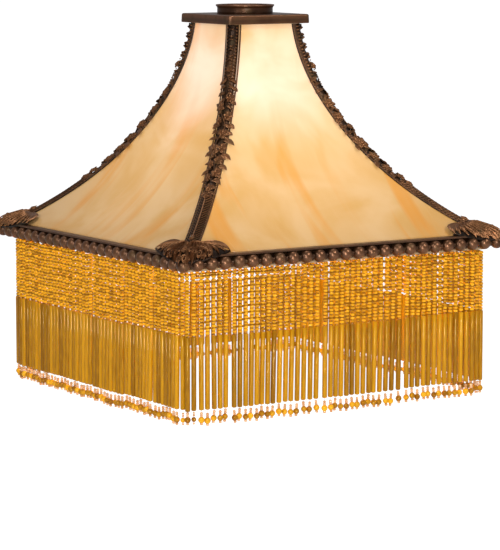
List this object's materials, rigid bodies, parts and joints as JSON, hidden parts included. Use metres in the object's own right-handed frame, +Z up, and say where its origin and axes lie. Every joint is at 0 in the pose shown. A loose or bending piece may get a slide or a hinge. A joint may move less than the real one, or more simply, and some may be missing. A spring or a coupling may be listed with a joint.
{
  "type": "lamp_shade",
  "caption": "Square flared lamp shade with bent opalescent glass panels, cast filigree corner ribs, a ball border, a round fitter collar and a hanging bead fringe",
  "frame": {"origin": "middle of the fitter lip, on the fitter's axis", "axes": "+Z up along the fitter's axis; -Y is the front panel; +X is the right panel"},
  "size_m": [0.3504, 0.3504, 0.3609],
  "materials": {
    "bronze": "dark mahogany bronze patina, satin",
    "cast_bronze": "cast, dark mahogany bronze patina with worn highlights",
    "plated_steel": "bronze plated sheet, satin",
    "screw_steel": "bronzed machine screws",
    "art_glass": "opalescent beige with amber streaks, smooth",
    "bead_glass": "clear amber seed beads",
    "tube_glass": "amber tube beads, satin",
    "tape_fabric": "woven cotton tape"
  },
  "bodies": {
    "shade": {"backing_plate": "plated_steel", "ball_border_back": "bronze", "ball_border_front": "bronze", "ball_border_left": "bronze", "ball_border_right": "bronze", "border_screws": "screw_steel", "cap_screws": "screw_steel", "corner_ornament_back_left": "cast_bronze", "corner_ornament_back_right": "cast_bronze", "corner_ornament_front_left": "cast_bronze", "corner_ornament_front_right": "cast_bronze", "fitter_collar": "bronze", "glass_back": "art_glass", "glass_front": "art_glass", "glass_left": "art_glass", "glass_right": "art_glass", "gusset_back_left": "plated_steel", "gusset_back_right": "plated_steel", "gusset_front_left": "plated_steel", "gusset_front_right": "plated_steel", "gusset_screws": "screw_steel", "heading_tape_back": "tape_fabric", "heading_tape_front": "tape_fabric", "heading_tape_left": "tape_fabric", "heading_tape_right": "tape_fabric", "inner_channel_back_left": "plated_steel", "inner_channel_back_right": "plated_steel", "inner_channel_front_left": "plated_steel", "inner_channel_front_right": "plated_steel", "ornament_screws": "screw_steel", "rail_back": "bronze", "rail_front": "bronze", "rail_left": "bronze", "rail_right": "bronze", "rib_back_left": "cast_bronze", "rib_back_right": "cast_bronze", "rib_front_left": "cast_bronze", "rib_front_right": "cast_bronze", "rib_screws": "screw_steel", "top_cap": "bronze"},
    "fringe_front": {"bead_net_front": "bead_glass", "bead_tubes_front": "tube_glass", "bead_drops_front": "bead_glass"},
    "fringe_right": {"bead_net_right": "bead_glass", "bead_tubes_right": "tube_glass", "bead_drops_right": "bead_glass"},
    "fringe_back": {"bead_net_back": "bead_glass", "bead_tubes_back": "tube_glass", "bead_drops_back": "bead_glass"},
    "fringe_left": {"bead_net_left": "bead_glass", "bead_tubes_left": "tube_glass", "bead_drops_left": "bead_glass"}
  },
  "joints": [
    {"name": "fringe_front_swing", "type": "hinge", "parent": "shade", "child": "fringe_front", "pos_m": [0, -0.16185, -0.2238], "axis": [-1, 0, 0], "range_deg": [-1.5, 30]},
    {"name": "fringe_right_swing", "type": "hinge", "parent": "shade", "child": "fringe_right", "pos_m": [0.16185, 0, -0.2238], "axis": [0, -1, 0], "range_deg": [-1.5, 30]},
    {"name": "fringe_back_swing", "type": "hinge", "parent": "shade", "child": "fringe_back", "pos_m": [0, 0.16185, -0.2238], "axis": [1, 0, 0], "range_deg": [-1.5, 30]},
    {"name": "fringe_left_swing", "type": "hinge", "parent": "shade", "child": "fringe_left", "pos_m": [-0.16185, 0, -0.2238], "axis": [0, 1, 0], "range_deg": [-1.5, 30]}
  ]
}
